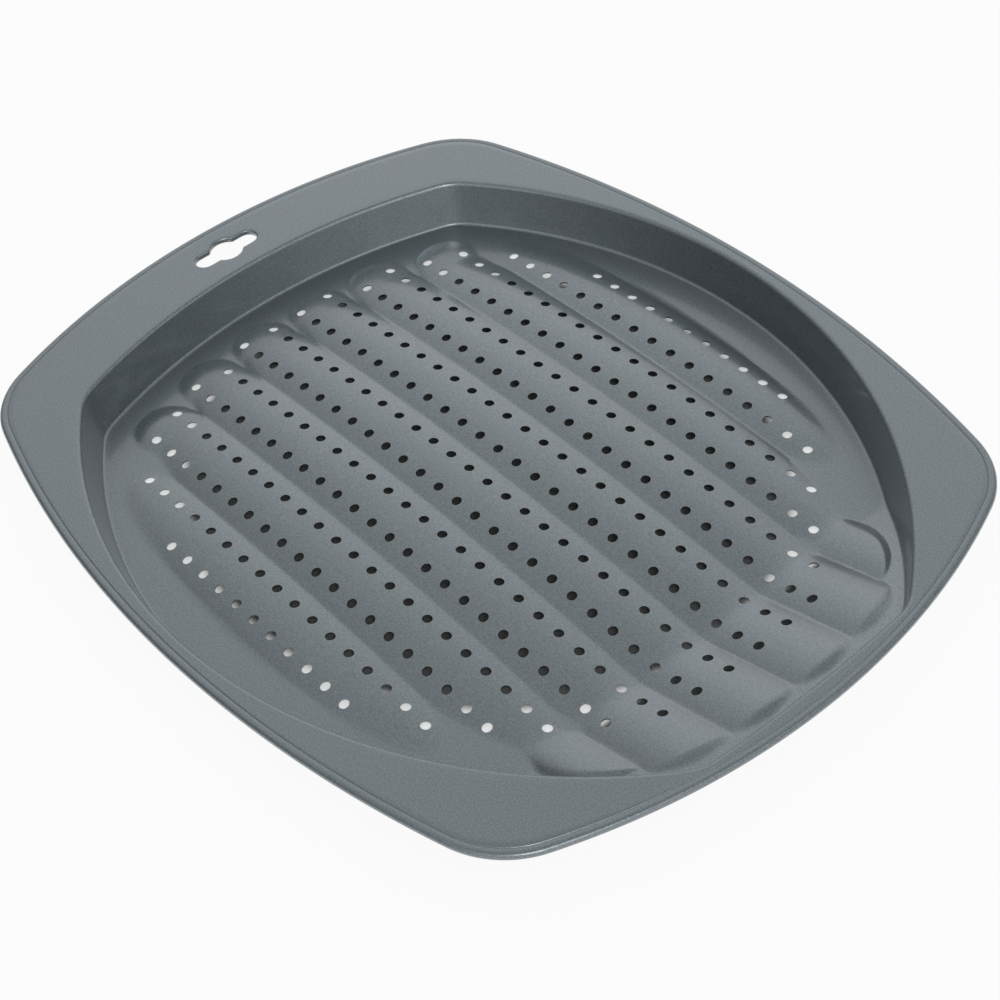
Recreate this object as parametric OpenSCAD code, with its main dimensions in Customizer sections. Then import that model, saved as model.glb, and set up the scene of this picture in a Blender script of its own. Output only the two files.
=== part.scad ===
// Crisper tray: a shallow baking tray pressed from one steel sheet. Its floor is crowned,
// ribbed and perforated, with a plain ledge round it and a raised ramp at one end. A
// leaning wall joins it to a flat flange with a hanging slot, and the edge is rolled
// round a steel wire.
// The origin is the middle of the rim outline, on the plane that the tray stands on.
// +X runs along the ribs to the ramp, +Z is up. The solids are the regions of the one
// pressing, cut where its form changes, and the wire.

/* [Overall] */
// Length over the rolled edge
tray_length = 374; // [360:1:384]
// Width over the rolled edge
tray_width = 304; // [290:1:318]
// Height of the flange over the table
tray_height = 20; // [18:0.5:24]
// Thickness of the sheet
sheet = 0.6; // [0.4:0.1:0.8]

/* [Rim outline] */
// Bow of the ends, as a share of half the length
rim_end_bow_share = 0.233; // [0.2:0.001:0.245]
// Bow of the long sides, as a share of half the width
rim_side_bow_share = 0.239; // [0.19:0.001:0.25]
// Radius of the corners
rim_corner_radius = 40; // [30:1:50]

/* [Rolled edge] */
// Diameter of the wire that the edge is rolled round
wire_diameter = 2; // [1.6:0.1:2.4]
// Clearance between the wire and the curl
wire_clearance = 0.05; // [0.05:0.01:0.1]
// Groove line, from the outer edge
groove_inset = 3.6; // [3.4:0.1:4.2]
// Width of the groove
groove_width = 0.5; // [0.3:0.1:0.8]
// Depth of the groove
groove_depth = 0.25; // [0.1:0.05:0.3]

/* [Well] */
// Width of the flange at the end with the slot
hang_end_flange = 34.5; // [32:0.5:38]
// Width of the flange at the ramp end
ramp_end_flange = 8.5; // [8:0.5:12]
// Width of the flange in the middle of each long side
side_flange = 7.7; // [7.4:0.1:10]
// Bow of the end with the slot, as a share of half the tray's length
well_hang_end_bow_share = 0.245; // [0.23:0.001:0.26]
// Bow of the ramp end, as a share of half the tray's length
well_ramp_end_bow_share = 0.08; // [0.065:0.001:0.1]
// Bow of the long sides, as a share of half the tray's width
well_side_bow_share = 0.519; // [0.49:0.001:0.53]
// Radius of the corners at the slot end
well_hang_corner_radius = 24; // [18:1:30]
// Radius of the corners at the ramp end
well_ramp_corner_radius = 20; // [16:1:24]
// Lean of the wall from upright, in degrees
wall_lean = 14; // [8:1:20]
// Inside radius of the bends over and under the wall
bend_radius = 1.4; // [1:0.1:2]
// Flat strip beyond the lower bend
foot_strip = 1.5; // [1:0.1:2.5]

/* [Ribbed floor] */
// Height of the floor's crown over the ledge
crown_height = 9.6; // [8:0.1:11]
// How much lower the crown would lie at the floor's long edges
crown_drop = 9.7; // [9:0.1:11]
// Radius of the crown along the tray
crown_radius = 1120; // [1000:10:1250]
// Place of the crown's top along the tray
crown_x = -2.3; // [-4:0.1:4]
// Distance from rib to rib
rib_pitch = 30; // [29.5:0.1:30.4]
// Rise of a rib over its two creases
rib_rise = 2.35; // [2:0.05:2.7]
// Half the width of the ribbed floor where it meets the ledge
floor_half_width = 121; // [120:0.5:122]
// Ledge between the well's end and the rounded noses of the two middle ribs
nose_ledge = 15.5; // [14:0.5:18]
// Radius of a rib's nose
nose_radius = 16; // [15.5:0.5:18]
// Slope of a rib's nose, in degrees
nose_slope = 16; // [14:1:20]

/* [End ramp] */
// Length of the ramp in plan, from its foot to the well's end
ramp_length = 51.5; // [49:0.5:54]
// Slope of the ramp, in degrees
ramp_slope = 16.5; // [15:0.5:17]
// Length of the ribs up the ramp
ramp_rib_length = 45.5; // [43:0.5:46.5]
// Radius of the curve on which the middle ribs end
ramp_rib_end_radius = 600; // [400:10:800]
// Radius of the curve on which the outer ribs end
ramp_rib_side_radius = 204; // [202:0.5:206]
// Middle of that curve, down the ramp from its foot
ramp_rib_side_back = 126.5; // [125:0.5:128]
// Middle of that curve, out from the tray's middle line
ramp_rib_side_off = 68.5; // [67:0.5:70]
// Slope of the ribs' ends over the ramp, in degrees
ramp_rib_end_slope = 36; // [30:1:50]

/* [Perforations] */
// Diameter of a hole
hole_diameter = 4; // [3:0.1:5]
// Distance between holes along a row
hole_pitch = 11; // [10.8:0.1:11.2]
// Distance between rows
row_pitch = 15; // [14.8:0.1:15.2]
// Distance from the ramp's foot back to the line of holes just before it
hole_to_foot = 2.35; // [1:0.05:4]
// Radius to which the lines of holes bow across the rows
hole_bow_radius = 266; // [240:1:300]
// Least distance from the middle of a hole to the well's outline
hole_edge = 21; // [18:0.5:22]

/* [Hanging slot] */
// Length of the slot
slot_length = 31; // [28:0.5:34]
// Width of the slot's arms
slot_width = 8.5; // [7:0.1:10]
// Diameter of the round middle
slot_middle_diameter = 14.5; // [13:0.1:16]
// Radius between the arms and the round middle
slot_fillet = 1.6; // [1:0.1:2.5]
// Middle of the slot, from the outer edge
slot_inset = 18; // [17:0.5:19.5]
// Depth of the lip turned down round the slot
slot_lip = 2.2; // [1.5:0.1:3]

/* [Hidden] */

// Cuts run past a face by this much
overrun = 5;
// Longest facet along the swept outlines, and the most that one turns, in degrees
facet_length = 16;
facet_turn = 7.5;
// Reach of the solids that are trimmed to the well, from the middle
trim_reach = tray_length;
// Ribs on each side of the middle line, and those that go on up the ramp
side_ribs = 4;
ramp_ribs = 3;
// Holes of each row, from the middle line outwards: the first one counted from the noses,
// and the last one from the ramp's foot
row_spans = [[1, 2], [1, 2], [2, 2], [2, 1], [3, 0], [4, -1], [6, -2], [10, -4]];
// Part of the crown's sideways fall that follows the square of the distance
crown_square_share = 0.55;
// Reach of each rib's nose from the tray's middle, from the middle rib outwards
nose_reach_shares = [1, 0.98, 0.905, 0.76];

// Ends and side of the well, the ramp's foot and the furthest noses
half_length = tray_length/2;
half_width = tray_width/2;
well_right = half_length - ramp_end_flange;
well_left = hang_end_flange - half_length;
well_side = half_width - side_flange;
ramp_foot = well_right - ramp_length;
nose_reach = -well_left - nose_ledge;

steel_grey = [0.47, 0.50, 0.51];
wire_grey = [0.72, 0.72, 0.70];

function unit(angle) = [cos(angle), sin(angle)];
function turn_of(v) = atan2(v.y, v.x);
function flip(p) = [p.x, -p.y];

// Point at given distances from two others, on the right of the way between them
function meeting(from, from_reach, to, to_reach) =
    let (
        way = to - from,
        gap = norm(way),
        along = (from_reach^2 - to_reach^2 + gap^2)/(2*gap),
        off = sqrt(from_reach^2 - along^2)
    )
    from + (along*way + off*[way.y, -way.x])/gap;

// Closed outline of eight tangent arcs, each [centre, radius, first angle, last angle].
// An end is [place of its middle, radius, corner radius] and the side [place, radius].
function outline(right, left, side) =
    let (
        right_centre = [right[0] - right[1], 0],
        left_centre = [left[0] + left[1], 0],
        side_centre = [0, side[0] - side[1]],
        right_corner = meeting(side_centre, side[1] - right[2], right_centre, right[1] - right[2]),
        left_corner = meeting(left_centre, left[1] - left[2], side_centre, side[1] - left[2]),
        a = turn_of(right_corner - right_centre),
        b = turn_of(right_corner - side_centre),
        c = turn_of(left_corner - side_centre),
        d = turn_of(left_corner - left_centre)
    )
    [
        [right_centre, right[1], -a, a],
        [right_corner, right[2], a, b],
        [side_centre, side[1], b, c],
        [left_corner, left[2], c, d],
        [left_centre, left[1], d, 360 - d],
        [flip(left_corner), left[2], -d, -c],
        [flip(side_centre), side[1], -c, -b],
        [flip(right_corner), right[2], -b, -a]
    ];

// Stations round an outline, each [point, angle of its outward normal]
function stations(arcs) = [
    for (arc = arcs)
        let (
            sweep = arc[3] - arc[2],
            length = arc[1]*sweep*PI/180,
            steps = ceil(max(sweep/facet_turn, length/facet_length))
        )
        for (step = [0:steps - 1])
            let (angle = arc[2] + sweep*step/steps)
            [arc[0] + arc[1]*unit(angle), angle]
];

// Point of a section in space: distance inwards from the station, and height
function placed(station, p) = [each station[0] - p.x*unit(station[1]), p.y];

// Closed ring through a list of like sections, one for each station
module ring(sections) {
    count = len(sections);
    size = len(sections[0]);
    polyhedron(
        points = [for (section = sections) each section],
        faces = [
            for (s = [0:count - 1], p = [0:size - 1])
                let (
                    a = s*size + p,
                    b = s*size + (p + 1) % size,
                    c = (s + 1) % count*size + (p + 1) % size,
                    d = (s + 1) % count*size + p
                )
                each [[a, b, c], [a, c, d]]
        ]
    );
}

// Radius of an arc from half its chord and its bow
function arc_radius(half_chord, bow) = (half_chord^2 + bow^2)/(2*bow);

rim_end_radius = arc_radius(half_width, rim_end_bow_share*half_length);
rim_arcs = outline(
    [half_length, rim_end_radius, rim_corner_radius],
    [-half_length, rim_end_radius, rim_corner_radius],
    [half_width, arc_radius(half_length, rim_side_bow_share*half_width)]
);
well_arcs = outline(
    [
        well_right,
        arc_radius(well_side, well_ramp_end_bow_share*half_length),
        well_ramp_corner_radius
    ],
    [
        well_left,
        arc_radius(well_side, well_hang_end_bow_share*half_length),
        well_hang_corner_radius
    ],
    [well_side, arc_radius((well_right - well_left)/2, well_side_bow_share*half_width)]
);
rim_stations = stations(rim_arcs);
well_stations = stations(well_arcs);

// Rolled edge: section of the curl, its centre at [curl_outer, curl_z]
curl_inner = wire_diameter/2 + wire_clearance;
curl_outer = curl_inner + sheet;
curl_z = tray_height - curl_outer;
curl_step = 29;
curl_steps = 10;
curl_inner_steps = 7;

function curl_point(radius, angle) = [curl_outer, curl_z] + radius*[-cos(angle), sin(angle)];

curl_section = [
    [groove_inset, tray_height],
    [groove_inset - groove_width/2, tray_height - groove_depth],
    [groove_inset - groove_width, tray_height],
    for (i = [0:curl_steps]) curl_point(curl_outer, 90 - curl_step*i),
    for (i = [0:curl_inner_steps])
        curl_point(curl_inner, 90 - curl_step*curl_steps*(1 - i/curl_inner_steps)),
    [groove_inset, tray_height - sheet]
];

wire_sides = 8;
wire_section = [
    for (i = [0:wire_sides - 1]) curl_point(wire_diameter/2, -360*i/wire_sides)
];

module rim_wire() {
    color(wire_grey) ring([
        for (station = rim_stations) [for (p = wire_section) placed(station, p)]
    ]);
}

module rolled_rim() {
    color(steel_grey) ring([
        for (station = rim_stations) [for (p = curl_section) placed(station, p)]
    ]);
}

// Flange, from the groove to where the upper bend starts
bend_outer = bend_radius + sheet;
top_bend = [-bend_outer*tan((90 - wall_lean)/2), tray_height - bend_outer];

module outline_at(stops, inset) {
    polygon([for (station = stops) station[0] - inset*unit(station[1])]);
}

// Slot as a plan shape, larger all round by grow
module slot_shape(grow) {
    arm_radius = slot_width/2 + grow;
    middle = slot_middle_diameter/2 + grow;
    fillet = slot_fillet - grow;
    arm = slot_length/2 - slot_width/2;
    reach = sqrt((middle + fillet)^2 - (arm_radius + fillet)^2);
    circle(r = middle);
    for (way = [-1, 1]) translate([0, way*arm]) circle(r = arm_radius);
    square([2*arm_radius, 2*arm], center = true);
    for (across = [0, 1], along = [0, 1]) mirror([across, 0]) mirror([0, along])
        difference() {
            polygon([[0, 0], [arm_radius + fillet, reach], [0, reach]]);
            translate([arm_radius + fillet, reach]) circle(r = fillet);
        }
}

module flange() {
    color(steel_grey) {
        translate([0, 0, tray_height - sheet]) linear_extrude(sheet) difference() {
            outline_at(rim_stations, groove_inset);
            outline_at(well_stations, top_bend.x);
            translate([slot_inset - half_length, 0]) slot_shape(0);
        }
        translate([slot_inset - half_length, 0, tray_height - slot_lip])
            linear_extrude(slot_lip - sheet) difference() {
                slot_shape(sheet);
                slot_shape(0);
            }
    }
}

// Wall: section from the flange over the two bends to the foot strip. The lower bend
// meets the ledge, or the ramp where that is higher.
bend_steps = 3;

function floor_z(x) = sheet + max(0, (x - ramp_foot)*tan(ramp_slope));
function wall_x(z) = (tray_height - z)*tan(wall_lean);

// Place where the wall's face meets the floor, found in a few rounds from the ledge up
function foot_of(station, z, rounds) =
    rounds == 0 ? [wall_x(z), z]
    : foot_of(station, floor_z(station[0].x - wall_x(z)*cos(station[1])), rounds - 1);

function wall_section(station) =
    let (
        foot = foot_of(station, sheet, 8),
        uphill = cos(station[1]),
        on_slope = station[0].x - foot.x*uphill > ramp_foot,
        fall = on_slope ? atan(tan(ramp_slope)*uphill) : 0,
        turn = 90 - wall_lean - fall,
        start = foot + bend_radius*tan(turn/2)*[cos(fall), -sin(fall)],
        bend = start + bend_radius*[sin(fall), cos(fall)],
        end_x = start.x + foot_strip,
        end_z = floor_z(station[0].x - end_x*uphill),
        end_sheet = end_z > sheet ? sheet/cos(ramp_slope) : sheet
    )
    [
        for (i = [0:bend_steps]) top_bend + bend_radius*unit(90 - (90 - wall_lean)*i/bend_steps),
        for (i = [0:bend_steps]) bend + bend_outer*unit(180 + wall_lean + turn*i/bend_steps),
        [end_x, end_z - end_sheet],
        [end_x, end_z],
        for (i = [0:bend_steps]) bend + bend_radius*unit(270 - fall - turn*i/bend_steps),
        for (i = [0:bend_steps]) top_bend + bend_outer*unit(wall_lean + (90 - wall_lean)*i/bend_steps)
    ];

wall_sections = [for (station = well_stations) wall_section(station)];
strip_end = 2*(bend_steps + 1);

module well_wall() {
    color(steel_grey) ring([
        for (i = [0:len(well_stations) - 1])
            [for (p = wall_sections[i]) placed(well_stations[i], p)]
    ]);
}

// Everything inside the foot strip, over the plane that the tray stands on
module inside_wall(height) {
    linear_extrude(height) polygon([
        for (i = [0:len(well_stations) - 1])
            well_stations[i][0] - wall_sections[i][strip_end].x*unit(well_stations[i][1])
    ]);
}

// Ribbed floor: radius of a rib from its rise over two creases, and the creases
rib_radius = (rib_rise^2 + (rib_pitch/2)^2)/(2*rib_rise);
rib_base = 4*rib_rise;

function crown_fall(y) =
    let (part = y/floor_half_width)
    crown_drop*(crown_square_share*part^2 + (1 - crown_square_share)*part^4);

function crease(k) =
    k == side_ribs ? [floor_half_width, sheet]
    : [k*rib_pitch, sheet + crown_height - rib_rise - crown_fall(k*rib_pitch)];

function rib_centre(k) =
    let (a = crease(k), b = crease(k + 1), way = b - a, half = norm(way)/2)
    (a + b)/2 + sqrt(rib_radius^2 - half^2)*[way.y, -way.x]/norm(way);

// Section of the ribs across the tray, lower by depth and cut off at rib_base under them
module rib_section(depth) {
    intersection() {
        for (side = [-1, 1], k = [0:side_ribs - 1])
            translate([side*rib_centre(k).x, rib_centre(k).y]) circle(r = rib_radius - depth, $fn = 180);
        translate([-floor_half_width - overrun, -rib_base])
            square([2*(floor_half_width + overrun), rib_base + tray_height]);
    }
}

// Space under the ribs' noses: each rib runs from its nose's middle to the ramp, and
// the nose is a cone that stands on the ledge
module nose_space(depth) {
    top = nose_radius*tan(nose_slope);
    foot_radius = nose_radius - depth/sin(nose_slope);
    for (side = [-1, 1], k = [0:side_ribs - 1]) {
        centre_x = nose_radius - nose_reach*nose_reach_shares[k];
        translate([centre_x, side*(k + 1/2)*rib_pitch, sheet - rib_base])
            cylinder(
                r1 = foot_radius + rib_base/tan(nose_slope),
                r2 = foot_radius - top*foot_radius/nose_radius/tan(nose_slope),
                h = rib_base + top*foot_radius/nose_radius,
                $fn = 90
            );
        translate([centre_x, (side*(k + 1/2) - 1/2)*rib_pitch, -rib_base])
            cube([trim_reach, rib_pitch, rib_base + tray_height]);
    }
}

module ribbed_crown(depth) {
    half_turn = asin((nose_reach + overrun)/crown_radius);
    intersection() {
        translate([crown_x, 0, sheet + crown_height - crown_radius])
            rotate([90, 0, 0])
                rotate_extrude(start = 90 - half_turn, angle = 2*half_turn, $fn = 720)
                    translate([crown_radius - sheet - crown_height, 0]) rotate([0, 0, -90])
                        rib_section(depth);
        nose_space(depth);
    }
}

// Ramp, in its own frame: X up the slope from the foot, Z square to it
module on_ramp() {
    translate([ramp_foot, 0, sheet]) rotate([0, -ramp_slope, 0]) children();
}

module cone_end(radius, depth) {
    spread = overrun/tan(ramp_rib_end_slope);
    inner = radius - depth/sin(ramp_rib_end_slope);
    translate([0, 0, -overrun]) cylinder(r1 = inner + spread, r2 = inner - spread, h = 2*overrun, $fn = 360);
}

module ramp_ribs_solid(depth) {
    intersection() {
        translate([-2*rib_pitch, 0, 0]) rotate([90, 0, 90]) linear_extrude(trim_reach) intersection() {
            for (side = [-1, 1], k = [0:ramp_ribs - 1])
                translate([side*(k + 1/2)*rib_pitch, rib_rise - rib_radius])
                    circle(r = rib_radius - depth, $fn = 180);
            translate([-ramp_ribs*rib_pitch, -overrun/2]) square([2*ramp_ribs*rib_pitch, overrun]);
        }
        translate([ramp_rib_length - ramp_rib_end_radius, 0, 0]) cone_end(ramp_rib_end_radius, depth);
        for (side = [-1, 1])
            translate([-ramp_rib_side_back, side*ramp_rib_side_off, 0])
                cone_end(ramp_rib_side_radius, depth);
    }
}

module ramp_body(depth) {
    on_ramp() {
        ramp_ribs_solid(depth);
        translate([-trim_reach/2, -trim_reach/2, -tray_height - overrun - depth])
            cube([trim_reach, trim_reach, tray_height + overrun]);
    }
}

// Holes: rows lie along the ribs, and their lines bow towards the ramp
function along_sheet(x) = x < ramp_foot ? x : ramp_foot + (x - ramp_foot)*cos(ramp_slope);

row_steps = round((nose_reach + ramp_foot)/hole_pitch);

function row_holes(row) =
    let (y = (row + 1/2)*row_pitch, bow = y^2/(2*hole_bow_radius))
    [for (i = [row_spans[row][0] - row_steps:row_spans[row][1]])
        [along_sheet(ramp_foot - hole_to_foot + hole_pitch*i - bow), y]];

// Whether a point keeps a distance from each of the well's arcs, its corners apart
function keeps_off(p, reach) = min([
    for (i = [0:2:6]) well_arcs[i][1] - norm(p - well_arcs[i][0])
]) > reach;

holes = [
    for (row = [0:len(row_spans) - 1], side = [-1, 1], p = row_holes(row))
        if (keeps_off(p, hole_edge)) [p.x, side*p.y]
];

module perforations(from_x, to_x) {
    for (p = holes) if (p.x > from_x && p.x < to_x)
        translate([p.x, p.y, -overrun]) cylinder(d = hole_diameter, h = tray_height + 2*overrun, $fn = 24);
}

module crisper_floor() {
    color(steel_grey) difference() {
        union() {
            inside_wall(sheet);
            intersection() {
                ribbed_crown(0);
                inside_wall(tray_height);
            }
        }
        ribbed_crown(sheet);
        ramp_body(0);
        perforations(-half_length, ramp_foot + hole_diameter);
    }
}

module end_ramp() {
    color(steel_grey) difference() {
        intersection() {
            ramp_body(0);
            inside_wall(tray_height);
        }
        ramp_body(sheet);
        ribbed_crown(sheet);
        perforations(ramp_foot - 2*hole_pitch, half_length);
    }
}

rim_wire();
rolled_rim();
flange();
well_wall();
crisper_floor();
end_ramp();
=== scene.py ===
import math

import bpy
import numpy as np
from mathutils import Euler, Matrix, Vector


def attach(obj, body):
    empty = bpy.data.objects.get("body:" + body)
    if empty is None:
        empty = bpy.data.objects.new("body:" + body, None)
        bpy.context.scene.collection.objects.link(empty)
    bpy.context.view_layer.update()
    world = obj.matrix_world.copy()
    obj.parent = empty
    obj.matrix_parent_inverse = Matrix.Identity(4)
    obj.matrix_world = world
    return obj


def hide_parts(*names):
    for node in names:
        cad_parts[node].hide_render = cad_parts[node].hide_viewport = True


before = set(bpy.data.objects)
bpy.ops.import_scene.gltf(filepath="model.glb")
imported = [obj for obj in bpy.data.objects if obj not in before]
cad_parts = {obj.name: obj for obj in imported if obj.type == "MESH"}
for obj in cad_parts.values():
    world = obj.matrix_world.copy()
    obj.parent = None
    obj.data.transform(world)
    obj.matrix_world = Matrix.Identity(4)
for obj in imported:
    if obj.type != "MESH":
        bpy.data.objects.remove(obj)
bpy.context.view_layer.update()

# Camera: stands off the ramp's near corner and looks down on the tray at 45 degrees,
# with a long lens, as a product picture is taken.
camera_place = (0.4816, -0.3398, 0.5743)
camera_turn = (44.665, 4.933, 49.199)
camera_lens, camera_sensor, camera_near = 74.65, 36, 0.01

camera_data = bpy.data.cameras.new("camera")
camera_data.lens = camera_lens
camera_data.sensor_width = camera_sensor
camera_data.clip_start = camera_near
camera = bpy.data.objects.new("camera", camera_data)
camera.location = camera_place
camera.rotation_euler = Euler([math.radians(turn) for turn in camera_turn], "XYZ")
bpy.context.scene.collection.objects.link(camera)
bpy.context.scene.camera = camera
bpy.context.scene.view_settings.view_transform = "Standard"

# Studio: a dim room with soft glows round it, as soft boxes give, each brightest in one
# direction and fading evenly round that, and one long, narrow strip light.
room_dim = (0.045, 0.055, 0.065)
glows = [
    # turn round from +X and height over the table in degrees, strength, narrowness
    (0, 8, 0.82, 8),
    (108, 8, 0.11, 8),
    (144, 8, 0.59, 8),
    (288, 8, 0.16, 8),
    (324, 8, 0.38, 8),
    (62, 33, 0.09, 8),
    (107, 33, 0.52, 8),
    (152, 33, 0.33, 8),
    (197, 33, 0.13, 8),
    (287, 33, 0.7, 8),
    (335, 46, 6.0, 60),
    (17, 60, 0.4, 8),
    (161, 60, 0.28, 8),
    (233, 60, 0.33, 8),
]

# Turn and height of two places on the strip light's line, its strength, and its
# narrowness across and along.
strip_from, strip_to = (356, 45), (61, 25)
strip_strength, strip_narrow_across, strip_narrow_along = 2.5, 400, 5

studio = bpy.data.worlds.new("studio")
studio.use_nodes = True
bpy.context.scene.world = studio
nodes, links = studio.node_tree.nodes, studio.node_tree.links


def worked(kind, *values, vector=False, clamp=False):
    """Output of a math node: the given kind of sum, on sockets or plain values."""
    node = nodes.new("ShaderNodeVectorMath" if vector else "ShaderNodeMath")
    node.operation = kind
    if clamp:
        node.use_clamp = True
    for socket, value in zip(node.inputs, values):
        if isinstance(value, bpy.types.NodeSocket):
            links.new(value, socket)
        else:
            socket.default_value = value
    return node.outputs["Value" if kind == "DOT_PRODUCT" or not vector else "Vector"]


def stepped(value, start, end):
    """Output that goes smoothly from 0 to 1 while the value goes from start to end."""
    step = nodes.new("ShaderNodeMapRange")
    step.interpolation_type = "SMOOTHSTEP"
    step.inputs["From Min"].default_value = start
    step.inputs["From Max"].default_value = end
    links.new(value, step.inputs["Value"])
    return step.outputs["Result"]


def way_to(turn, height):
    """Vector of length one to a place in the room, from its turn and height in degrees."""
    turn, height = math.radians(turn), math.radians(height)
    return Vector((
        math.cos(height)*math.cos(turn), math.cos(height)*math.sin(turn), math.sin(height)))


room_way = nodes.new("ShaderNodeTexCoord").outputs["Generated"]
room_light = nodes.new("ShaderNodeRGB").outputs["Color"]
room_light.default_value = (*room_dim, 1)

# A glow is its strength times e to the power of: narrowness times the cosine of the angle
# off its middle, less the narrowness. The strip is such a glow, fading also with the
# square of the sine of the angle off its line.
for turn, height, strength, narrow in glows:
    near = worked("DOT_PRODUCT", room_way, way_to(turn, height), vector=True)
    fade = worked("MULTIPLY_ADD", near, narrow, math.log(strength) - narrow)
    room_light = worked("ADD", room_light, worked("EXPONENT", fade), vector=True)
start, end = way_to(*strip_from), way_to(*strip_to)
near = worked("DOT_PRODUCT", room_way, (start + end).normalized(), vector=True)
off = worked("DOT_PRODUCT", room_way, start.cross(end).normalized(), vector=True)
fade = worked(
    "MULTIPLY_ADD", near, strip_narrow_along, math.log(strip_strength) - strip_narrow_along)
fade = worked("MULTIPLY_ADD", worked("MULTIPLY", off, off), -strip_narrow_across, fade)
room_light = worked("ADD", room_light, worked("EXPONENT", fade), vector=True)
links.new(room_light, nodes["Background"].inputs["Color"])

# Table: a plain white board. It shows white, with a faint shadow of the tray. Under the tray
# its colour is painted shade, dark grey, where the crown and the ramp stand high over it;
# through the outermost holes, where the sheet lies low, it stays white with a painted glow.
table_half = 3.0
# The dark grey is painted shade under the tray, and the hole glow is painted light seen through the
# outermost holes.
table_white, painted_shade_grey, table_glow, painted_hole_glow = 0.9, 0.2, 0.92, 0.5
table_roughness, table_shine = 1.0, 0.0
tray_middle, tray_reach, tray_fade = (0, 0, 0), (0.165, 0.135, 1), (0.86, 0.96)
high_middle, high_reach, high_fade = (0, 0.001, 0), (0.125, 0.112, 1), (0.98, 1.1)
ramp_fade = (0.126, 0.13)

table_mesh = bpy.data.meshes.new("table_top")
table_mesh.from_pydata(
    [(x*table_half, y*table_half, 0) for x, y in ((-1, -1), (1, -1), (1, 1), (-1, 1))],
    [], [(0, 1, 2, 3)])
table = bpy.data.objects.new("table_top", table_mesh)
bpy.context.scene.collection.objects.link(table)
table_paint = bpy.data.materials.new("table_white")
table_paint.use_nodes = True
nodes, links = table_paint.node_tree.nodes, table_paint.node_tree.links
place = nodes.new("ShaderNodeTexCoord").outputs["Object"]


def reach_out(middle, reach):
    """Squared distance from a middle, in reaches along X and along Y."""
    out = worked("DIVIDE", worked("SUBTRACT", place, middle, vector=True), reach, vector=True)
    return worked("DOT_PRODUCT", out, out, vector=True)


place_parts = nodes.new("ShaderNodeSeparateXYZ")
links.new(place, place_parts.inputs["Vector"])
outside = stepped(reach_out(tray_middle, tray_reach), *tray_fade)
low_sheet = stepped(reach_out(high_middle, high_reach), *high_fade)
off_ramp = worked("SUBTRACT", 1.0, stepped(place_parts.outputs["X"], *ramp_fade))
# Painted shade and light: off the ramp, where the sheet lies low, the board keeps its white and
# glows; elsewhere under the tray it is painted dark grey.
under = worked("MULTIPLY", low_sheet, off_ramp)
free_of_painted_shade = worked("MAXIMUM", outside, under)
backdrop_and_painted_glow = worked(
    "MAXIMUM", worked("MULTIPLY", outside, table_glow), worked("MULTIPLY", under, painted_hole_glow))
tone = nodes.new("ShaderNodeMix")
tone.data_type = "RGBA"
tone.inputs["A"].default_value = (painted_shade_grey, painted_shade_grey, painted_shade_grey, 1)
tone.inputs["B"].default_value = (table_white, table_white, table_white, 1)
links.new(free_of_painted_shade, tone.inputs["Factor"])
shader = nodes["Principled BSDF"]
shader.inputs["Roughness"].default_value = table_roughness
shader.inputs["Specular IOR Level"].default_value = table_shine
links.new(tone.outputs["Result"], shader.inputs["Base Color"])
ray = nodes.new("ShaderNodeLightPath").outputs
seen = worked("ADD", ray["Is Camera Ray"], ray["Is Glossy Ray"])
seen = worked("ADD", seen, ray["Is Transmission Ray"], clamp=True)
share = worked("MULTIPLY", backdrop_and_painted_glow, seen)
white = nodes.new("ShaderNodeEmission")
table_mix = nodes.new("ShaderNodeMixShader")
links.new(share, table_mix.inputs["Fac"])
links.new(shader.outputs["BSDF"], table_mix.inputs[1])
links.new(white.outputs["Emission"], table_mix.inputs[2])
links.new(table_mix.outputs["Shader"], nodes["Material Output"].inputs["Surface"])
table_mesh.materials.append(table_paint)

# Rim, flange and wall: the outer part of the one pressed steel sheet. The edge is
# rolled round a wire, the flange lies flat, and the wall leans down to the floor. Sizes
# from here on are in millimetres.
MM = 0.001
tray_length, tray_width, tray_height, sheet = 374.0, 304.0, 20.0, 0.6
half_length, half_width = tray_length/2, tray_width/2
rim_end_bow_share, rim_side_bow_share, rim_corner_radius = 0.233, 0.239, 40.0
hang_end_flange, ramp_end_flange, side_flange = 34.5, 8.5, 7.7
hang_end_bow_share, ramp_end_bow_share, side_bow_share = 0.245, 0.08, 0.519
hang_corner_radius, ramp_corner_radius = 24.0, 20.0
wall_lean = math.radians(14)
bend_radius, foot_strip, foot_rounds = 1.4, 1.5, 12
curl_inner, curl_turn = 1.05, math.radians(290)
groove_inset, groove_width, groove_depth = 3.35, 0.7, 0.22
curl_steps, curl_under_steps, groove_steps, flange_steps, bend_steps = 26, 16, 8, 10, 8
sharp_edge, weld_places = math.radians(40), 4
ramp_length, ramp_slope, ramp_foot_soft = 51.5, math.radians(16.5), 0.9
ramp_foot = half_length - ramp_end_flange - ramp_length


def unit(angle):
    """Vector of length one at each angle."""
    return np.stack([np.cos(angle), np.sin(angle)], -1)


def arc_radius(half_chord, bow):
    """Radius of an arc: half the chord squared plus the bow squared, over twice the bow."""
    return (half_chord**2 + bow**2)/(2*bow)


def meeting(start, start_reach, end, end_reach):
    """Point at given distances from two others, on the right of the way between them: how
    far along the way it lies follows from the three sides, and how far off from the first."""
    start, way = np.array(start), np.array(end) - np.array(start)
    gap = np.hypot(*way)
    along = (start_reach**2 - end_reach**2 + gap**2)/(2*gap)
    off = math.sqrt(start_reach**2 - along**2)
    return start + (along*way + off*np.array([way[1], -way[0]]))/gap


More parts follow.
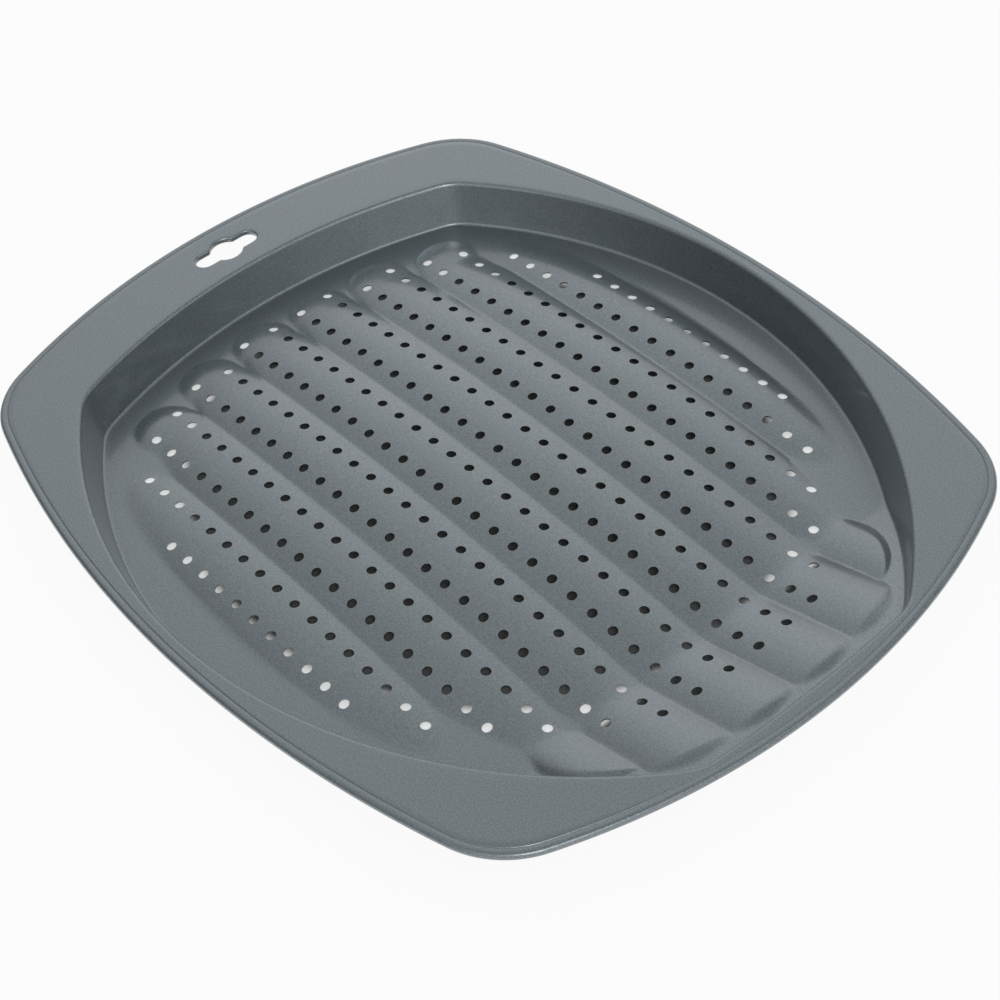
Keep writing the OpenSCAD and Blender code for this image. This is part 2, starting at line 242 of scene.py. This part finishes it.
def outline(right, left, side):
    """Closed outline of eight tangent arcs: where each arc ends, as the angle of its
    normal, then centres and radii. Ends are (place, radius, corner), side (place, radius)."""
    right_centre, left_centre = (right[0] - right[1], 0), (left[0] + left[1], 0)
    side_centre = (0, side[0] - side[1])
    right_corner = meeting(side_centre, side[1] - right[2], right_centre, right[1] - right[2])
    left_corner = meeting(left_centre, left[1] - left[2], side_centre, side[1] - left[2])
    turns = [math.atan2(corner[1] - centre[1], corner[0] - centre[0]) for corner, centre in (
        (right_corner, right_centre), (right_corner, side_centre),
        (left_corner, side_centre), (left_corner, left_centre))]
    half = [(right_centre, right[1]), (right_corner, right[2]), (side_centre, side[1]),
            (left_corner, left[2]), (left_centre, left[1])]
    arcs = half + [((c[0], -c[1]), r) for c, r in half[3:0:-1]] + half[:1]
    limits = turns + [2*math.pi - turn for turn in turns[::-1]]
    return np.array(limits), np.array([c for c, r in arcs]), np.array([r for c, r in arcs])


def outline_point(shape, angle):
    """Point of an outline where its normal has the angle: arc's centre plus its radius."""
    limits, centres, radii = shape
    number = np.searchsorted(limits, np.mod(angle, 2*math.pi))
    return centres[number] + radii[number][..., None]*unit(angle)


rim_end = arc_radius(half_width, rim_end_bow_share*half_length)
rim = outline(
    (half_length, rim_end, rim_corner_radius),
    (-half_length, rim_end, rim_corner_radius),
    (half_width, arc_radius(half_length, rim_side_bow_share*half_width)))
well_right, well_left = half_length - ramp_end_flange, hang_end_flange - half_length
well_side = half_width - side_flange
well = outline(
    (well_right, arc_radius(well_side, ramp_end_bow_share*half_length), ramp_corner_radius),
    (well_left, arc_radius(well_side, hang_end_bow_share*half_length), hang_corner_radius),
    (well_side, arc_radius((well_right - well_left)/2, side_bow_share*half_width)))


def base_height(x):
    """Height of the ledge, and of the ramp's plane after its softly bent foot: the slope
    times the logarithm of one plus e to the power of the way past the foot."""
    past_foot = np.logaddexp(0, (x - ramp_foot)/ramp_foot_soft)
    return sheet + math.tan(ramp_slope)*ramp_foot_soft*past_foot


def base_slope(x):
    """Slope of base_height along X: from nothing to the ramp's, past a soft foot."""
    return math.tan(ramp_slope)/(1 + np.exp(-(x - ramp_foot)/ramp_foot_soft))


def wall_foot(angle):
    """Where the wall's lower bend runs out on the floor: inset from the well's outline
    and height of that point, the floor's fall towards the wall, and the bend's turn. The
    wall meets the floor's height after a few rounds, and the bend is tangent to both."""
    place, out = outline_point(well, angle), np.cos(angle)
    z = np.full(len(angle), sheet)
    for _ in range(foot_rounds):
        z = base_height(place[:, 0] - (tray_height - z)*math.tan(wall_lean)*out)
    inset = (tray_height - z)*math.tan(wall_lean)
    fall = np.arctan(base_slope(place[:, 0] - inset*out)*out)
    turn = math.pi/2 - wall_lean - fall
    tangent = bend_radius*np.tan(turn/2)
    return inset + tangent*np.cos(fall), z - tangent*np.sin(fall), fall, turn


def strip_end(angle):
    """Plan points where the rim piece ends and the floor starts: the well's outline, drawn
    in by the wall's foot and a narrow strip of floor."""
    return outline_point(well, angle) - (wall_foot(angle)[0] + foot_strip)[:, None]*unit(angle)


# Lines along the floor, by their distance from its middle line: closer together at the
# creases and towards the long sides. The rim piece and the floor share their points on
# the seam. The noses and the ramp, at the two ends, have twice as many lines.
rib_pitch, side_ribs = 30.0, 4
rib_lines = np.array([0, 0.4, 1.2, 2.6, 4.6, 6.7, 8.8, 10.9, 13.0, 15.0])
edge_steps, edge_gap = 14, 0.02
seam_samples, rim_samples = 20001, 40001

fine = np.linspace(-math.pi/2, math.pi/2, seam_samples)
right_edge, left_edge = strip_end(fine), strip_end(math.pi - fine)
edge_y = right_edge[:, 1].max() - edge_gap
inner_lines = np.unique(np.concatenate([
    np.concatenate([rib_lines, rib_pitch - rib_lines]) + rib_pitch*k for k in range(side_ribs)]))
outer_lines = inner_lines[-1] + (edge_y - inner_lines[-1])*np.sin(
    np.linspace(0, math.pi/2, edge_steps + 1)[1:])
floor_lines = np.concatenate([-outer_lines[::-1], -inner_lines[:0:-1], inner_lines, outer_lines])
end_lines = np.interp(
    np.arange(2*len(floor_lines) - 1)/2, np.arange(len(floor_lines)), floor_lines)
right_angle = np.interp(end_lines, right_edge[:, 1], fine)
left_angle = math.pi - np.interp(end_lines, left_edge[:, 1], fine)

well_angle = np.concatenate([right_angle, left_angle[::-1]])
seam = strip_end(well_angle)
rim_fine = np.linspace(-math.pi/2, 3*math.pi/2, rim_samples)
rim_polar = np.unwrap(np.arctan2(*outline_point(rim, rim_fine).T[::-1]))
seam_polar = np.unwrap(np.arctan2(seam[:, 1], seam[:, 0]))
rim_angle = np.interp(seam_polar, rim_polar, rim_fine)


def arc(centre, radius, start, end, steps):
    """Points of an arc of a section, from one angle to another: centre plus radius times
    cosine and sine. Centre, radius and angles may differ from station to station."""
    t = np.linspace(0, 1, steps + 1)[:, None]
    angle = start + (end - start)*t
    return np.stack([centre[0] + radius*np.cos(angle), centre[1] + radius*np.sin(angle)], -1)


def placed(points, shape, angle):
    """Section points (inset, height) of every station, set out from an outline: its point
    at the station's angle, moved inwards along its normal by the inset."""
    points = np.broadcast_to(points, (len(points), len(angle), 2))
    plan = outline_point(shape, angle)[None] - points[..., :1]*unit(angle)[None]
    return np.concatenate([plan, points[..., 1:]], -1)


def quads(rows, columns, closed_rows=False, closed_columns=False):
    """Corner numbers of the faces of a grid of points, one face for each step along the
    rows and the columns. They look up where the columns run on to the left of the rows."""
    r = np.arange(rows if closed_rows else rows - 1)[:, None]
    c = np.arange(columns if closed_columns else columns - 1)[None]
    r2, c2 = (r + 1) % rows, (c + 1) % columns
    faces = np.stack([r*columns + c, r*columns + c2, r2*columns + c2, r2*columns + c], -1)
    return faces.reshape(-1, 4)


def welded(patches):
    """One list of points and of faces from many patches (points, faces), where points that
    fall on one place become one, and whether each corner of a face differs from the next."""
    points, faces, start = [], [], 0
    for patch_points, patch_faces in patches:
        points.append(patch_points.reshape(-1, 3))
        faces.append(patch_faces + start)
        start += len(points[-1])
    points, faces = np.concatenate(points), np.concatenate(faces)
    _, first, number = np.unique(
        np.round(points, weld_places), axis=0, return_index=True, return_inverse=True)
    faces = number.reshape(-1)[faces]
    return points[first], faces, faces != np.roll(faces, -1, axis=1)


def sheet_piece(name, patches):
    """Object from patches in millimetres, smooth but for its sharp edges. A face with two
    corners on one place becomes a triangle, and one that falls flat is left out."""
    points, faces, differ = welded(patches)
    whole, three = differ.all(axis=1), differ.sum(axis=1) == 3
    corners = faces[three][differ[three]].reshape(-1, 3)
    loops = np.concatenate([faces[whole].reshape(-1), corners.reshape(-1)]).astype(np.int32)
    sizes = np.concatenate([np.full(whole.sum(), 4), np.full(three.sum(), 3)])
    mesh = bpy.data.meshes.new(name)
    mesh.vertices.add(len(points))
    mesh.vertices.foreach_set("co", (points*MM).astype(np.float32).reshape(-1))
    mesh.loops.add(len(loops))
    mesh.loops.foreach_set("vertex_index", loops)
    mesh.polygons.add(len(sizes))
    mesh.polygons.foreach_set("loop_start", (np.cumsum(sizes) - sizes).astype(np.int32))
    mesh.update(calc_edges=True)
    mesh.validate()
    mesh.polygons.foreach_set("use_smooth", np.ones(len(sizes), bool))
    mesh.set_sharp_from_angle(angle=sharp_edge)
    piece = bpy.data.objects.new(name, mesh)
    bpy.context.scene.collection.objects.link(piece)
    return piece


# Coating of the whole pressing: a thin grey non-stick layer, satin, with a fine metallic
# speckle and a clear layer over it.
coat_dark, coat_pale, coat_steps = (0.155, 0.185, 0.20, 1), (0.255, 0.285, 0.30, 1), (0.3, 0.7)
coat_metallic, coat_roughness, clear_weight, clear_roughness = 0.9, 0.36, 1.0, 0.12
speckle_scale, speckle_detail = 1500, 2

coating = bpy.data.materials.new("coated_steel")
coating.use_nodes = True
nodes, links = coating.node_tree.nodes, coating.node_tree.links
speckle = nodes.new("ShaderNodeTexNoise")
speckle.inputs["Scale"].default_value = speckle_scale
speckle.inputs["Detail"].default_value = speckle_detail
tone = nodes.new("ShaderNodeValToRGB")
for element, share, colour in zip(tone.color_ramp.elements, coat_steps, (coat_dark, coat_pale)):
    element.position = share
    element.color = colour
shader = nodes["Principled BSDF"]
shader.inputs["Metallic"].default_value = coat_metallic
shader.inputs["Roughness"].default_value = coat_roughness
shader.inputs["Coat Weight"].default_value = clear_weight
shader.inputs["Coat Roughness"].default_value = clear_roughness
links.new(nodes.new("ShaderNodeTexCoord").outputs["Object"], speckle.inputs["Vector"])
links.new(speckle.outputs["Fac"], tone.inputs["Fac"])
links.new(tone.outputs["Color"], shader.inputs["Base Color"])

# Section of the rim piece, station by station: curl, band, groove, flange, bends, wall
# and foot strip on top, and the same again underneath.
curl_outer, bend_outer = curl_inner + sheet, bend_radius + sheet
curl_centre = (curl_outer, tray_height - curl_outer)
top_bend = (-bend_outer*math.tan((math.pi/2 - wall_lean)/2), tray_height - bend_outer)
inset, foot_z, fall, turn = wall_foot(well_angle)
lower_bend = (inset + bend_radius*np.sin(fall), foot_z + bend_radius*np.cos(fall))
across = np.linspace(-1, 1, groove_steps + 1)
groove = np.stack([groove_inset + groove_width*across/2,
                   tray_height - groove_depth*np.cos(across*math.pi/2)**2], -1)[:, None]
curl_top = arc(curl_centre, curl_outer, math.pi/2 + curl_turn, math.pi/2, curl_steps)
curl_under = arc(
    curl_centre, curl_inner, math.pi/2, math.pi/2 + curl_turn, curl_under_steps)
groove_under = np.array([[[groove_inset + groove_width/2, tray_height - sheet]]])
strip_x = seam[:, 0]
strip_inset = inset + foot_strip
strip_top = np.stack([strip_inset, base_height(strip_x)], -1)[None]
strip_under = strip_top - np.stack(
    [np.zeros(len(strip_x)), sheet*np.sqrt(1 + base_slope(strip_x)**2)], -1)[None]

wall_face, all_round = math.pi + wall_lean, (bend_steps + 1, len(fall), 2)
rim_top = placed(np.concatenate([curl_top, groove]), rim, rim_angle)
wall_top = placed(np.concatenate([
    np.broadcast_to(arc(top_bend, bend_outer, math.pi/2, wall_lean, bend_steps), all_round),
    arc(lower_bend, bend_radius, wall_face, wall_face + turn, bend_steps),
    strip_top]), well, well_angle)
wall_under = placed(np.concatenate([
    strip_under,
    arc(lower_bend, bend_outer, wall_face + turn, wall_face, bend_steps),
    np.broadcast_to(arc(top_bend, bend_radius, wall_lean, math.pi/2, bend_steps), all_round)]),
    well, well_angle)
rim_under = placed(np.concatenate([groove_under, curl_under]), rim, rim_angle)


def between(start, end, steps):
    """Rows of points from one row to another, both included: the first plus even shares
    of the way to the last."""
    t = np.linspace(0, 1, steps + 1)[:, None, None]
    return start + (end - start)*t


flange_top = between(rim_top[-1], wall_top[0], flange_steps)
flange_under = between(wall_under[-1], rim_under[0], flange_steps)
section = np.concatenate([
    rim_top, flange_top[1:-1], wall_top, wall_under, flange_under[1:-1], rim_under])
section_faces = quads(len(section), len(well_angle), closed_rows=True, closed_columns=True)

# Hanging slot in the flange: two arms and a round middle, with fillets between them.
# Its edge is turned down into a short lip.
slot_length, slot_width, slot_middle, slot_fillet = 31.0, 8.5, 14.5, 1.6
slot_inset, slot_lip, slot_bend, slot_reach = 18.0, 2.2, 1.0, 17.5
slot_samples, slot_rings, lip_steps, lip_under_steps = 200, 4, 6, 4
slot_lead_share = 1.2
slot_x = slot_inset - half_length

arm_radius, middle_radius = slot_width/2, slot_middle/2
arm_y = slot_length/2 - arm_radius
fillet_x = arm_radius + slot_fillet
fillet_y = math.sqrt((middle_radius + slot_fillet)**2 - fillet_x**2)
fillet_turn = math.atan2(fillet_y, fillet_x)
share = np.linspace(0, 1, slot_samples)
middle_way, fillet_way, arm_way = [
    unit(turn) for turn in (fillet_turn*share, fillet_turn*(1 - share), math.pi/2*share)]
quarter = np.concatenate([
    np.concatenate([middle_radius*middle_way, middle_way], 1),
    np.concatenate([[[fillet_x, fillet_y]] - slot_fillet*fillet_way, fillet_way], 1),
    np.concatenate([[[0, arm_y]] + arm_radius*arm_way, arm_way], 1)])
half = np.concatenate([quarter, quarter[::-1]*np.array([-1, 1, -1, 1])])
slot_edge = np.concatenate([half, half[::-1]*np.array([1, -1, 1, -1])])
slot_run = np.concatenate([[0], np.cumsum(np.hypot(*np.diff(slot_edge[:, :2], axis=0).T))])
slot_polar = np.unwrap(np.arctan2(slot_edge[:, 1], slot_edge[:, 0]))

near_slot = np.flatnonzero((np.abs(seam[:, 1]) < slot_reach) & (seam[:, 0] < 0))
first, last = near_slot[0], near_slot[-1]


def border(block):
    """Closed loop round a block of points, anticlockwise from its first corner."""
    return np.concatenate([block[0, :-1], block[:-1, -1], block[-1, :0:-1], block[:0:-1, 0]])


def slot_points(loop):
    """Two points of the slot's edge and their normals for each point of a loop round it:
    halfway between the same direction from the middle and the same share of the way,
    counted from where the loop starts, which leads by a share of its first direction."""
    polar = np.unwrap(np.arctan2(loop[:, 1], loop[:, 0] - slot_x)) % (2*math.pi)
    start = polar.argmin()
    polar = np.roll(polar, -start)
    ring = np.roll(loop, -start, axis=0)
    run = np.cumsum(np.hypot(*(ring - np.roll(ring, 1, axis=0))[:, :2].T))
    run = (run - run[0])/run[-1] + polar[0]/(2*math.pi)*slot_lead_share
    run = (np.interp(polar, slot_polar, slot_run) + run*slot_run[-1])/2
    run_round = np.append(run, run[0] + slot_run[-1])
    run = np.interp(np.arange(2*len(run))/2, np.arange(len(run) + 1), run_round) % slot_run[-1]
    found = np.stack([np.interp(run, slot_run, column) for column in slot_edge.T], -1)
    return np.roll(found, 2*start, axis=0)


def slot_patch(loop, depth, upwards):
    """Points and faces from a loop in the flange to the slot's bent edge, which has twice
    as many points, and that edge: rows at even shares of the way, then the edge itself."""
    edge = slot_points(loop)
    inner = np.concatenate([
        [[slot_x, 0]] + edge[:, :2] + slot_bend*edge[:, 2:], np.full((len(edge), 1), depth)], 1)
    rows = between(loop, inner[::2], slot_rings)[:-1]
    count, size = len(loop), rows.shape[0]*len(loop)
    i = np.arange(count)
    last_row, ring = (size - count) + i, size + 2*i
    ahead, ring_ahead = (size - count) + (i + 1) % count, size + (2*i + 2) % (2*count)
    faces = np.concatenate([
        quads(len(rows), count, closed_columns=True),
        np.stack([last_row, ahead, ring_ahead, ring + 1], -1),
        np.stack([last_row, ring + 1, ring, ring], -1)])
    points = np.concatenate([rows.reshape(-1, 3), inner])
    return points, faces if upwards else faces[:, ::-1], edge


*top_patch, edge = slot_patch(border(flange_top[:, first:last + 1]), tray_height, True)
*under_patch, _ = slot_patch(
    border(flange_under[::-1, first:last + 1]), tray_height - sheet, False)
bend_z = tray_height - slot_bend
profile = np.concatenate([
    arc((slot_bend, bend_z), slot_bend, math.pi/2, math.pi, lip_steps)[:, 0],
    [[0, tray_height - slot_lip], [sheet, tray_height - slot_lip]],
    arc((slot_bend, bend_z), slot_bend - sheet, math.pi, math.pi/2, lip_under_steps)[:, 0]])
lip = np.concatenate([
    np.array([slot_x, 0]) + edge[None, :, :2] + profile[:, None, :1]*edge[None, :, 2:],
    np.broadcast_to(profile[:, None, 1:], (len(profile), len(edge), 1))], -1)

row, column = np.divmod(np.arange(len(section_faces)), len(well_angle))
flange_row = len(rim_top) - 1
under_row = len(rim_top) + flange_steps - 1 + len(wall_top) + len(wall_under) - 1
over_slot = (column >= first) & (column < last) & (
    ((row >= flange_row) & (row < flange_row + flange_steps))
    | ((row >= under_row) & (row < under_row + flange_steps)))
rim_and_wall = sheet_piece("rolled_rim_and_wall", [
    (section, section_faces[~over_slot]), top_patch, under_patch,
    (lip, quads(len(lip), lip.shape[1], closed_columns=True))])
rim_and_wall.data.materials.append(coating)
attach(rim_and_wall, "root")
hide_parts("rolled_rim", "flange", "well_wall")

# Ribbed floor and end ramp: the middle of the same sheet. It is crowned both ways, with
# eight ribs and creases between them, noses at the slot end and a ribbed ramp at the
# other, and punched with rows of holes on bowed lines.
crown_height, crown_drop, crown_radius, crown_x = 9.6, 9.7, 1120.0, -2.3
crown_square_share = 0.55
rib_rise, floor_half_width = 2.35, 121.0
no_nose, no_rib, least_square = -50.0, -20.0, 1
nose_ledge, nose_radius, nose_height, nose_limit, nose_power = 15.5, 14.0, 1.9, 3.4, 3.0
nose_climb, nose_fall = 0.2, 0.15
nose_reach_shares, nose_fingers = [1, 0.98, 0.905, 0.76], 3
ramp_rib_end_radius, ramp_rib_end_slope, ramp_side_radius = 30.0, math.radians(38), 21.0
ramp_rib_ends = [(17.0, 14.0), (13.5, 38.0), (0.5, 52.5)]
crease_soft, foot_soft, nose_soft, end_soft, valley_soft = 0.3, 0.15, 0.5, 0.5, 1.4
slope_step, steepest_share = 0.05, 1.3
rib_radius = arc_radius(rib_pitch/2, rib_rise)


def soft_max(a, b, reach):
    """Greater of two heights, with the corner between them rounded over about reach."""
    return (a + b + np.sqrt((a - b)**2 + reach**2))/2


def crown_fall(y):
    """How far the crown lies under its top, by the distance from the middle line."""
    part = y/floor_half_width
    return crown_drop*(crown_square_share*part**2 + (1 - crown_square_share)*part**4)


crease_y = np.append(np.arange(side_ribs)*rib_pitch, floor_half_width)
crease_z = np.append(sheet + crown_height - rib_rise - crown_fall(crease_y[:-1]), sheet)
creases = np.stack([crease_y, crease_z], -1)
crease_way = np.diff(creases, axis=0)
half_way = np.hypot(*crease_way.T)/2
centre_off = np.sqrt(rib_radius**2 - half_way**2)/(2*half_way)
rib_centres = (creases[1:] + creases[:-1])/2 + centre_off[:, None]*np.stack(
    [crease_way[:, 1], -crease_way[:, 0]], -1)


def rib_section(y):
    """Height of the ribs across the tray: the highest of their arcs at each y."""
    arcs = [z + np.sqrt(np.maximum(rib_radius**2 - (y - side*middle)**2, least_square))
            for middle, z in rib_centres for side in (-1, 1)]
    height = arcs[0]
    for other in arcs[1:]:
        height = soft_max(height, other, crease_soft)
    return height


def crown_top(x, y):
    """Height of the ribbed crown: the ribs' section turned about an axis far below the
    tray, and held under a limit that climbs from the noses. Each rib but the outermost
    starts in a nose, a round-ended finger whose height falls with the third power of the
    way from its middle, and which sinks into the crown behind it."""
    turn = crown_radius + rib_section(y) - sheet - crown_height
    height = sheet + crown_height - crown_radius + np.sqrt(turn**2 - (x - crown_x)**2)
    limit, finger = np.full(np.shape(x), no_nose), np.full(np.shape(x), no_nose)
    middles_x = nose_radius + (well_left + nose_ledge)*np.array(nose_reach_shares)
    middles_y = (np.arange(len(middles_x)) + 0.5)*rib_pitch
    for k, (middle_x, middle_y) in enumerate(zip(middles_x, middles_y)):
        out = np.hypot(np.minimum(x - middle_x, 0), np.abs(y) - middle_y)/nose_radius
        limit = np.maximum(limit, sheet + nose_limit*(1 - out**nose_power))
        if k < nose_fingers:
            sunk = nose_fall*np.clip(x - middle_x, 0, None)
            finger = np.maximum(finger, sheet + nose_height*(1 - out**nose_power) - sunk)
    along = np.clip(x - np.interp(np.abs(y), middles_y, middles_x), 0, None)
    limit = limit + nose_climb*along
    return soft_max(-soft_max(-height, -limit, nose_soft), finger, nose_soft)


def ramp_top(x, y):
    """Height of the ribs on the ramp: arcs square to its plane, rounder past the rib's own
    crease, and from its middle on for the outermost. Each rib ends in a face that slopes
    down to a circle of its own, given past the ramp's foot and off the middle."""
    across = np.abs(y)
    rise = np.full(np.shape(x), no_rib)
    for k, (end_x, end_y) in enumerate(ramp_rib_ends):
        off = across - (k + 0.5)*rib_pitch
        outermost = k == len(ramp_rib_ends) - 1
        radius = np.where(off > (0 if outermost else rib_pitch/2), ramp_side_radius, rib_radius)
        rib = rib_rise - radius + np.sqrt(np.maximum(radius**2 - off**2, least_square))
        out = np.hypot(np.maximum(x - ramp_foot - end_x, 0), across - end_y)
        cut = (ramp_rib_end_radius - out)*math.tan(ramp_rib_end_slope)
        rise = soft_max(rise, -soft_max(-rib, -cut, end_soft), crease_soft)
    return sheet + (x - ramp_foot)*math.tan(ramp_slope) + rise/math.cos(ramp_slope)


def floor_height(x, y):
    """Height of the floor's upper face: the highest of crown, ramp ribs and base."""
    return soft_max(
        soft_max(crown_top(x, y), ramp_top(x, y), valley_soft), base_height(x), foot_soft)


def under_height(x, y):
    """Height of the lower face: the sheet's thickness, measured square to the slope, but
    no more than a given share of it straight down."""
    slope_x = (floor_height(x + slope_step, y) - floor_height(x - slope_step, y))/(2*slope_step)
    slope_y = (floor_height(x, y + slope_step) - floor_height(x, y - slope_step))/(2*slope_step)
    down = np.minimum(np.sqrt(1 + slope_x**2 + slope_y**2), steepest_share)
    return floor_height(x, y) - sheet*down


# Grid of the floor: columns follow the bowed lines of holes, one pitch to a cell. The
# columns beyond the holes are drawn in to meet the seam. In a cell with a hole, rings of
# points lead from the hole to the cell's border.
hole_diameter, hole_pitch, row_pitch = 4.0, 11.0, 15.0
hole_to_foot, hole_bow_radius, no_holes = 2.35, 266.0, (1, 0)
row_holes = [(-12, 13), (-12, 13), (-11, 13), (-11, 12), (-10, 11), (-9, 10), (-7, 9), (-3, 7)]
first_cell, rib_cell, ramp_cell, last_cell = -13, -8, 11, 15
hole_zero = ramp_foot - hole_to_foot - ramp_cell*hole_pitch
draw_in, draw_in_share = 8.0, 0.45
cell_steps, row_steps = 6, len(rib_lines) - 1
floor_rings, floor_rings_under = [0, 0.25, 0.55, 0.8, 0.93, 1], [0, 0.5, 1]
end_rings, end_rings_under = [0, 0.2, 0.4, 0.6, 0.8, 0.93, 1], [0, 0.3, 0.6, 1]


def along_sheet(x):
    """Place in plan of a point that is x along the flat sheet: closer up the ramp."""
    return np.minimum(x, ramp_foot) + np.maximum(x - ramp_foot, 0)*math.cos(ramp_slope)


def column_place(column, lines):
    """X of a column on each line: bowed by the square of y, and drawn in linearly to the
    seam at each end, over draw_in millimetres or less where the line is short."""
    bow = lines[:, None]**2/(2*hole_bow_radius)
    x, x_first, x_last = [
        along_sheet(hole_zero + hole_pitch*number - bow)
        for number in (column, first_cell - 0.5, last_cell + 0.5)]
    left = strip_end(math.pi - np.interp(lines, left_edge[:, 1], fine))[:, :1]
    right = strip_end(np.interp(lines, right_edge[:, 1], fine))[:, :1]
    margin = np.minimum(draw_in, draw_in_share*(right - left))
    low, high = left + margin, right - margin
    x_left = left + (x - x_first)*margin/(low - x_first)
    x_right = right - (x_last - x)*margin/(x_last - high)
    return np.where(x < low, x_left, np.where(x > high, x_right, x))


def floor_part(start_cell, end_cell, cell_steps, lines, row_steps, rings, rings_under, coarse=None):
    """Patches of the floor between two columns of cells: top, underside, hole walls and
    the cut edges all round. Each ring lies at its share of the way from a hole to its
    cell's border. The coarse edge, 0 or -1, meets a part with half as many lines."""
    columns = start_cell - 0.5 + np.arange((end_cell - start_cell + 1)*cell_steps + 1)/cell_steps
    x = column_place(columns[None], lines)
    y = np.broadcast_to(lines[:, None], x.shape)
    top, under = floor_height(x, y), under_height(x, y)

    # The edges that meet the rim piece lie at the base's height, like its foot strip.
    edge = np.zeros(x.shape, bool)
    edge[[0, -1]] = True
    edge[:, [column for column, cell in ((0, start_cell), (-1, end_cell))
             if cell in (first_cell, last_cell)]] = True
    top = np.where(edge, base_height(x), top)
    under = np.where(edge, base_height(x) - sheet*np.sqrt(1 + base_slope(x)**2), under)
    if coarse is not None:
        # Every second point lies halfway between its neighbours, on the other part's edge.
        for grid in (x, top, under):
            grid[1::2, coarse] = (grid[:-1:2, coarse] + grid[2::2, coarse])/2

    # Cells with a hole in them are left out of the grid.
    middle = len(lines)//2
    line, column = np.meshgrid(
        np.arange(len(lines) - 1), np.arange(len(columns) - 1), indexing="ij")
    band = np.where(line >= middle, (line - middle)//row_steps, (middle - 1 - line)//row_steps)
    cell = start_cell + column//cell_steps
    spans = np.array(row_holes + [no_holes]*len(lines))
    pierced = (cell >= spans[band, 0]) & (cell <= spans[band, 1])
    faces = quads(*x.shape)[~pierced.reshape(-1)]
    top_points, under_points = np.stack([x, y, top], -1), np.stack([x, y, under], -1)
    patches = [(top_points, faces), (under_points, faces[:, ::-1])]

    # Holes by cell, row and side. A block is the border of a cell with a hole, as steps
    # along the lines and the columns from the cell's first corner.
    holes = np.array([
        (cell, row, side) for row, (a, b) in enumerate(row_holes) for side in (-1, 1)
        for cell in range(max(a, start_cell), min(b, end_cell) + 1)])
    low_line = middle + np.where(holes[:, 2] > 0, holes[:, 1], -holes[:, 1] - 1)*row_steps
    low_column = (holes[:, 0] - start_cell)*cell_steps
    block = border(np.stack(np.meshgrid(
        np.arange(row_steps + 1), np.arange(cell_steps + 1), indexing="ij"), -1))
    lines_at, columns_at = low_line[:, None] + block[:, 0], low_column[:, None] + block[:, 1]
    hole_y = holes[:, 2]*(holes[:, 1] + 0.5)*row_pitch
    hole_x = along_sheet(hole_zero + hole_pitch*holes[:, 0] - hole_y**2/(2*hole_bow_radius))
    out_x, out_y = x[lines_at, columns_at], y[lines_at, columns_at]
    turn = np.arctan2(out_y - hole_y[:, None], out_x - hole_x[:, None])
    in_x = hole_x[:, None] + hole_diameter/2*np.cos(turn)
    in_y = hole_y[:, None] + hole_diameter/2*np.sin(turn)
    first_corner = np.arange(len(holes))[:, None, None]*len(block)

    def for_each_hole(ring_faces, ring_count):
        """Faces of every hole from those of the first: each hole's corners follow the last's."""
        return (ring_faces[None] + ring_count*first_corner).reshape(-1, 4)

    hole_rims = []
    for shares, height, outer, way in (
            (rings, floor_height, top, -1), (rings_under, under_height, under, 1)):
        share = np.array(shares)[None, :, None]
        ring_x = in_x[:, None] + (out_x - in_x)[:, None]*share
        ring_y = in_y[:, None] + (out_y - in_y)[:, None]*share
        ring_z = height(ring_x, ring_y)
        ring_z[:, -1] = outer[lines_at, columns_at]
        points = np.stack([ring_x, ring_y, ring_z], -1)
        ring_faces = quads(len(shares), len(block), closed_columns=True)
        patches.append((points, for_each_hole(ring_faces[:, ::way], len(shares))))
        hole_rims.append(points[:, 0])
    wall_faces = quads(2, len(block), closed_columns=True)
    patches.append((np.stack(hole_rims, 1), for_each_hole(wall_faces, 2)))

    # The cut edge all round, from the top's border to the underside's.
    loop = border(np.arange(x.size).reshape(x.shape)[..., None])[:, 0]
    edge_points = np.stack([top_points.reshape(-1, 3)[loop], under_points.reshape(-1, 3)[loop]])
    patches.append((edge_points, quads(2, len(loop), closed_columns=True)[:, ::-1]))
    return patches


floor_noses = sheet_piece("ribbed_noses", floor_part(
    first_cell, rib_cell - 1, 2*cell_steps, end_lines, 2*row_steps, end_rings, end_rings_under, -1))
crisper_floor = sheet_piece("ribbed_floor", floor_part(
    rib_cell, ramp_cell - 1, cell_steps, floor_lines, row_steps, floor_rings, floor_rings_under))
end_ramp = sheet_piece("ribbed_ramp", floor_part(
    ramp_cell, last_cell, 2*cell_steps, end_lines, 2*row_steps, end_rings, end_rings_under, 0))
for piece, node in (
        (floor_noses, "crisper_floor"), (crisper_floor, "crisper_floor"), (end_ramp, "end_ramp")):
    piece.data.materials.append(coating)
    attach(piece, "root")
    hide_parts(node)

# Rim wire: bright drawn steel, bent round the whole edge with the sheet rolled over it,
# which hides it. It keeps its solid.
wire_colour, wire_metallic, wire_roughness = (0.6, 0.6, 0.58, 1), 1.0, 0.35

wire_steel = bpy.data.materials.new("wire_steel")
wire_steel.use_nodes = True
shader = wire_steel.node_tree.nodes["Principled BSDF"]
shader.inputs["Base Color"].default_value = wire_colour
shader.inputs["Metallic"].default_value = wire_metallic
shader.inputs["Roughness"].default_value = wire_roughness
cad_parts["rim_wire"].data.materials.clear()
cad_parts["rim_wire"].data.materials.append(wire_steel)
